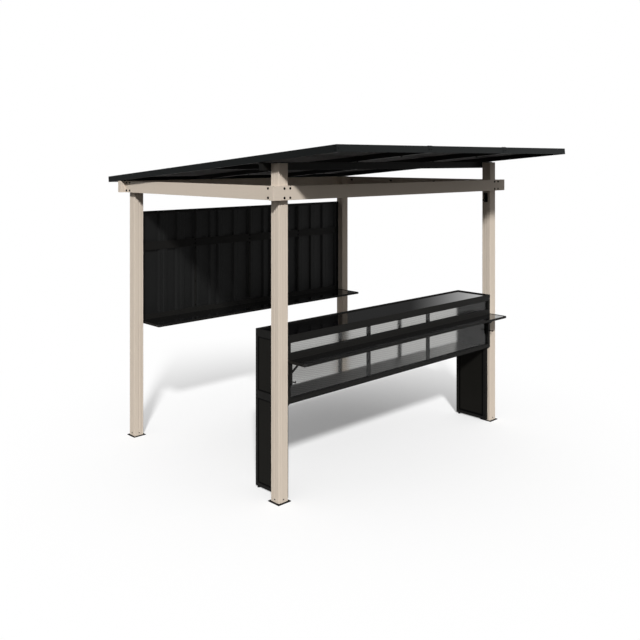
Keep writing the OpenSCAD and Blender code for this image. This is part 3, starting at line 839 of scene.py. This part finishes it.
class GAZEBO_OT_wall_fastenings(bpy.types.Operator):
    """Bolt the wall's middle rail to the uprights and screw the uprights lower down"""

    bl_idname = "gazebo.wall_fastenings"
    bl_label = "Wall fastenings"

    def execute(self, context):
        size = context.scene.gazebo_fastening
        rail_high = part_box("wall_middle_rail")[1]
        frame_low, frame_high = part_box("wall_frame")
        stile = (frame_high.x + rail_high.x) / 2
        bm = bmesh.new()
        for x in self.upright_places():
            for k in range(WALL_BOLTS):
                z = rail_high.z - size.wall_bolt_top - k * size.wall_bolt_pitch
                spot, normal = seat("wall_frame", (x, 0, z), (0, 1, 0))
                button_bolt(bm, along(spot, normal), size.wall_bolt_d)
        for x in (-stile, *self.upright_places(), stile):
            for rise in (size.wall_screw_low, size.wall_screw_high):
                spot, normal = seat("wall_frame", (x, 0, frame_low.z + rise), (0, 1, 0))
                button_bolt(bm, along(spot, normal), size.wall_screw_d)
        fastenings("wall_bolts", bm)
        return {"FINISHED"}

    def upright_places(self):
        """The middles of the uprights between the lengths of the middle rail."""
        low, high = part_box("wall_middle_rail")
        z = centre(low, high).z
        rail = surface("wall_middle_rail")
        places = steps_along(low.x, high.x, UPRIGHT_STEP)
        ahead = Vector((0, 1, 0))
        gaps = [x for x in places if rail.ray_cast(Vector((x, 0, z)), ahead)[0] is None]
        return [(run[0] + run[-1]) / 2 for run in runs_of(gaps, UPRIGHT_STEP)]


class GAZEBO_OT_wall_seals(bpy.types.Operator):
    """Seal the ends of the wall sheets, and close the cut ribs at their joints"""

    bl_idname = "gazebo.wall_seals"
    bl_label = "Wall seals"

    def execute(self, context):
        trim = context.scene.gazebo_trim
        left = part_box("wall_sheet_1")[0]
        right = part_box("wall_sheet_4")[1]
        bm = bmesh.new()
        for z in (left.z, right.z):
            half = trim.seal_h / 2
            box_solid(bm, (left.x, right.y - trim.seal_w, z - half), (right.x, right.y, z + half))
        for k in CUT_SHEETS:
            front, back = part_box(f"wall_sheet_{k}")
            box_solid(
                bm,
                (back.x, front.y, left.z),
                (back.x + trim.seal_w, back.y - trim.seal_w / 2, right.z),
            )
        piece("wall_seals", bm, "plastic", smooth=False)
        return {"FINISHED"}


class GAZEBO_OT_bar_screws(bpy.types.Operator):
    """Screw the bar's end panels to their stiles, and the shelf brackets to the bar"""

    bl_idname = "gazebo.bar_screws"
    bl_label = "Bar screws"

    def execute(self, context):
        size = context.scene.gazebo_fastening
        bm = bmesh.new()
        for side, out in (("left", -1), ("right", 1)):
            low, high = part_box(f"bar_end_{side}")
            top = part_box("bar_bottom_board")[0].z
            z = low.z + size.panel_screw_z
            while z < top:
                for y in (low.y + size.panel_screw_front, high.y - size.panel_screw_back):
                    spot, normal = seat(f"bar_end_{side}", (0, y, z), (out, 0, 0))
                    button_bolt(bm, along(spot, normal), size.panel_screw_d)
                z += size.panel_screw_pitch
        fastenings("end_panel_screws", bm)
        self.bracket_screws(size)
        return {"FINISHED"}

    def bracket_screws(self, size):
        """Two screws through each bracket's back plate, beside its strut."""
        low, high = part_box("front_shelf_brackets")
        bm = bmesh.new()
        for out in (-1, 1):
            for rise in (low.z + size.bracket_screw_edge, high.z - 3 * size.bracket_screw_edge):
                x = out * (high.x - size.bracket_screw_d)
                spot, normal = seat("front_shelf_brackets", (x, low.y - CLEAR, rise), (0, 1, 0))
                button_bolt(bm, along(spot, normal), size.bracket_screw_d)
        fastenings("bracket_screws", bm)


class GAZEBO_OT_end_panels(bpy.types.Operator):
    """Lay satin faces on the sunk panels of the bar's end frames, and near-black strips along their
    edges as painted shade of the recesses
    """

    bl_idname = "gazebo.end_panels"
    bl_label = "End panels"

    def execute(self, context):
        trim = context.scene.gazebo_trim
        for side in LEFT_RIGHT:
            node = f"bar_end_{side}"
            skins = bmesh.new()
            shade_strips = bmesh.new()
            for out in (-1, 1):
                for panel in self.panels(node, out):
                    self.dress(skins, shade_strips, trim, out, *panel)
            piece(f"end_panels_{side}", skins, "panel", smooth=False)
            # Near-black strips along the panels' edges: painted shade of the recesses
            piece(f"end_painted_shade_{side}", shade_strips, "fastening", smooth=False)
        return {"FINISHED"}

    def panels(self, node, out):
        """The sunk panels on one face of an end frame.

        Each is its X, whether it looks out of the bar, its front and back, its bottom and top.
        """
        low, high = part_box(node)
        face = high.x if out > 0 else low.x
        # Heights are felt out along a line that meets the panels and not the stiles
        middle = high.y - (high.y - low.y) / 3

        def depth(y, z):
            spot = surface(node).ray_cast(Vector((face + out * CLEAR, y, z)), Vector((-out, 0, 0)))[0]
            return 0 if spot is None else abs(spot.x - face)

        def sunk(first, last, depth_at):
            count = int((last - first) / RAY_STEP)
            places = [first + (k + 0.5) * RAY_STEP for k in range(count)]
            deep = [place for place in places if depth_at(place) > PANEL_LEVEL]
            runs = [run for run in runs_of(deep, RAY_STEP) if len(run) > PANEL_RAYS]
            return [(run[0] - RAY_STEP / 2, run[-1] + RAY_STEP / 2) for run in runs]

        for bottom, top in sunk(low.z, high.z, lambda z: depth(middle, z)):
            level = (bottom + top) / 2
            front, back = sunk(low.y, high.y, lambda y: depth(y, level))[0]
            yield face - out * depth(middle, level), face * out > 0, front, back, bottom, top

    def dress(self, skins, shade_strips, trim, out, x, outer, front, back, bottom, top):
        """A skin over one panel and four near-black strips along its edges, painted shade of the panel's
        recess.
        """
        skin = sorted((x, x + out * trim.skin_t))
        box_solid(skins, (skin[0], front, bottom), (skin[1], back, top))
        shade_strip = sorted((x, x + out * 2 * trim.skin_t))
        w = trim.outer_shade_strip_w if outer else trim.inner_shade_strip_w
        for near, far, foot, head in (
            (front, front + w, bottom, top),
            (back - w, back, bottom, top),
            (front + w, back - w, bottom, bottom + w),
            (front + w, back - w, top - w, top),
        ):
            box_solid(shade_strips, (shade_strip[0], near, foot), (shade_strip[1], far, head))


class GAZEBO_OT_board_face(bpy.types.Operator):
    """Lay a satin face on the bar's bottom board"""

    bl_idname = "gazebo.board_face"
    bl_label = "Bottom board"

    def execute(self, context):
        trim = context.scene.gazebo_trim
        low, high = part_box("bar_bottom_board")
        inset = Vector((trim.skin_inset, trim.skin_inset, 0))
        start = Vector((low.x, low.y, high.z)) + inset
        end = Vector((high.x, high.y, high.z + trim.skin_t)) - inset
        bm = bmesh.new()
        box_solid(bm, start, end)
        piece("bottom_board_face", bm, "board", smooth=False)
        return {"FINISHED"}


class GAZEBO_OT_gaskets(bpy.types.Operator):
    """Line the panes' edges with a thin gasket"""

    bl_idname = "gazebo.gaskets"
    bl_label = "Gaskets"

    def execute(self, context):
        trim = context.scene.gazebo_trim
        low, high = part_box("bar_panes")
        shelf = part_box("front_shelf_frame")[0].z
        front, back = low.y - trim.gasket_t, low.y
        bm = bmesh.new()
        for bottom, top in ((low.z, shelf), (shelf + trim.shelf_rail_h, high.z)):
            for z in (bottom, top - trim.gasket_w):
                box_solid(bm, (low.x, front, z), (high.x, back, z + trim.gasket_w))
            for x in (low.x, high.x - trim.gasket_w):
                box_solid(bm, (x, front, bottom), (x + trim.gasket_w, back, top))
        piece("pane_gaskets", bm, "plastic", smooth=False)
        return {"FINISHED"}


class GAZEBO_OT_caps(bpy.types.Operator):
    """Put caps on the rails' ends and on the free corners of the shelves"""

    bl_idname = "gazebo.caps"
    bl_label = "Caps"

    def execute(self, context):
        trim = context.scene.gazebo_trim
        bm = bmesh.new()
        for depth in FRONT_BACK:
            low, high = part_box(f"rail_{depth}")
            for x in (low.x - trim.rail_cap_t, high.x):
                box_solid(bm, (x, low.y, low.z), (x + trim.rail_cap_t, high.y, high.z))
        piece("rail_end_caps", bm, "beige", smooth=False)
        bm = bmesh.new()
        for shelf in FRONT_BACK:
            low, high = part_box(f"{shelf}_shelf_frame")
            rise = trim.corner_rise
            side = Vector((trim.corner_cap, trim.corner_cap, high.z - low.z + rise))
            for x in (low.x - rise, high.x + rise - side.x):
                start = Vector((x, low.y - rise, low.z - rise / 2))
                box_solid(bm, start, start + side)
        soften(piece("shelf_corner_caps", bm, "plastic"), trim.corner_round)
        return {"FINISHED"}


class GAZEBO_OT_stage(bpy.types.Operator):
    """Lay the floor, light the object and set the camera"""

    bl_idname = "gazebo.stage"
    bl_label = "Stage"

    def execute(self, context):
        stage = context.scene.gazebo_stage
        self.floor(stage)
        self.light(context, stage)
        self.camera(context, stage)
        context.scene.view_settings.view_transform = "Standard"
        return {"FINISHED"}

    def floor(self, stage):
        """A wide pale floor that fades to white, and that lights the object with a dim tone."""
        bm = bmesh.new()
        half = stage.floor_size / 2
        corners = ((-half, -half), (half, -half), (half, half), (-half, half))
        bm.faces.new([bm.verts.new((x, y, -FLOOR_DROP)) for x, y in corners])
        floor = add_mesh("floor", bm)
        floor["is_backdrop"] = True
        material, tree, shader = new_material("pale_floor")
        floor.data.materials.append(material)
        set_inputs(shader, {"Roughness": 1.0, "Specular IOR Level": 0.0})
        place = tree.nodes.new("ShaderNodeTexCoord").outputs["Object"]
        reach = tree.nodes.new("ShaderNodeVectorMath")
        reach.operation = "LENGTH"
        tree.links.new(place, reach.inputs[0])
        fade = tree.nodes.new("ShaderNodeMapRange")
        fade.interpolation_type = "SMOOTHSTEP"
        set_inputs(fade, {"From Min": stage.glow_start, "From Max": stage.glow_end})
        tree.links.new(reach.outputs["Value"], fade.inputs["Value"])
        path = tree.nodes.new("ShaderNodeLightPath").outputs
        seen = math_node(tree, "MAXIMUM", path["Is Camera Ray"], path["Is Glossy Ray"])
        seen = math_node(tree, "MAXIMUM", seen, path["Is Transmission Ray"])
        near = mix_colour(tree, fade.outputs["Result"], (*stage.bounce, 1), (0, 0, 0, 1))
        tone = mix_colour(tree, seen, near, (*stage.floor, 1))
        tree.links.new(tone, shader.inputs["Base Color"])
        far = math_node(tree, "MULTIPLY", fade.outputs["Result"], 1 - stage.floor_glow)
        share = math_node(tree, "MULTIPLY", math_node(tree, "ADD", far, stage.floor_glow), seen)
        glow = tree.nodes.new("ShaderNodeEmission")
        mix = tree.nodes.new("ShaderNodeMixShader")
        tree.links.new(share, mix.inputs["Fac"])
        tree.links.new(shader.outputs[0], mix.inputs[1])
        tree.links.new(glow.outputs[0], mix.inputs[2])
        tree.links.new(mix.outputs[0], tree.nodes["Material Output"].inputs["Surface"])

    def light(self, context, stage):
        """A soft sun and an even sky, which is white to the camera and in a half of reflections."""
        lamp = bpy.data.lights.new("sun", "SUN")
        lamp.energy = stage.sun
        lamp.angle = stage.sun_spread
        sun = add_object("sun", lamp)
        travel = math.cos(stage.sun_height) * level_direction(stage.sun_heading)
        travel.z = -math.sin(stage.sun_height)
        sun.rotation_euler = travel.to_track_quat("-Z", "Y").to_euler()
        world = bpy.data.worlds.new("sky")
        context.scene.world = world
        world.use_nodes = True
        tree = world.node_tree
        background = tree.nodes["Background"]
        background.inputs["Color"].default_value = (1, 1, 1, 1)
        path = tree.nodes.new("ShaderNodeLightPath").outputs
        towards = tree.nodes.new("ShaderNodeVectorMath")
        towards.operation = "DOT_PRODUCT"
        towards.inputs[1].default_value = level_direction(stage.window_heading)
        heading = tree.nodes.new("ShaderNodeTexCoord").outputs["Generated"]
        tree.links.new(heading, towards.inputs[0])
        # Reflections show a bright half, turned towards the window's heading, and a dim one
        window = tree.nodes.new("ShaderNodeMapRange")
        window.inputs["From Max"].default_value = math.sin(stage.window_edge)
        tree.links.new(towards.outputs["Value"], window.inputs["Value"])
        bright = math_node(tree, "POWER", window.outputs["Result"], 2)
        reflected = math_node(tree, "MAXIMUM", bright, stage.dim_sky)
        lit = tree.nodes.new("ShaderNodeMix")
        lit.inputs["A"].default_value = stage.sky
        tree.links.new(path["Is Glossy Ray"], lit.inputs["Factor"])
        tree.links.new(reflected, lit.inputs["B"])
        seen = math_node(tree, "MAXIMUM", path["Is Camera Ray"], path["Is Transmission Ray"])
        strength = math_node(tree, "MAXIMUM", lit.outputs["Result"], seen)
        tree.links.new(strength, background.inputs["Strength"])

    def camera(self, context, stage):
        """A level camera that looks past the near post."""
        lens = bpy.data.cameras.new("camera")
        lens.lens = stage.camera_lens
        lens.sensor_width = SENSOR_WIDTH
        lens.shift_x = stage.camera_shift_x
        lens.shift_y = stage.camera_shift_y
        camera = add_object("camera", lens)
        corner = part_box("post_front_left")[0]
        spot = corner - stage.camera_distance * level_direction(stage.camera_bearing)
        camera.location = (spot.x, spot.y, stage.camera_height)
        camera.rotation_euler = (math.pi / 2, 0, stage.camera_heading - math.pi / 2)
        context.scene.camera = camera


class GAZEBO_PT_panel(bpy.types.Panel):
    """The steps of the dressing, in order"""

    bl_idname = "GAZEBO_PT_panel"
    bl_label = "Bar gazebo"
    bl_space_type = "VIEW_3D"
    bl_region_type = "UI"
    bl_category = "Gazebo"

    def draw(self, context):
        for operator in OPERATORS:
            self.layout.operator(operator.bl_idname)


SETTINGS = {
    "gazebo_finish": FinishSettings,
    "gazebo_fastening": FasteningSettings,
    "gazebo_trim": TrimSettings,
    "gazebo_stage": StageSettings,
}
OPERATORS = (
    GAZEBO_OT_finishes,
    GAZEBO_OT_rail_bolts,
    GAZEBO_OT_foot_screws,
    GAZEBO_OT_roof_fastenings,
    GAZEBO_OT_rafter_bolts,
    GAZEBO_OT_wall_fastenings,
    GAZEBO_OT_wall_seals,
    GAZEBO_OT_bar_screws,
    GAZEBO_OT_end_panels,
    GAZEBO_OT_board_face,
    GAZEBO_OT_gaskets,
    GAZEBO_OT_caps,
    GAZEBO_OT_stage,
)


def register():
    """Register the settings, operators and panel."""
    for name, group in SETTINGS.items():
        bpy.utils.register_class(group)
        setattr(bpy.types.Scene, name, PointerProperty(type=group))
    for cls in (*OPERATORS, GAZEBO_PT_panel):
        bpy.utils.register_class(cls)


def unregister():
    """Take the settings, operators and panel away again."""
    for cls in (GAZEBO_PT_panel, *reversed(OPERATORS)):
        bpy.utils.unregister_class(cls)
    for name, group in SETTINGS.items():
        delattr(bpy.types.Scene, name)
        bpy.utils.unregister_class(group)


def main():
    """Dress the frame, running each step in turn."""
    register()
    for operator in OPERATORS:
        module, name = operator.bl_idname.split(".")
        getattr(getattr(bpy.ops, module), name)()


if __name__ == "__main__":
    main()
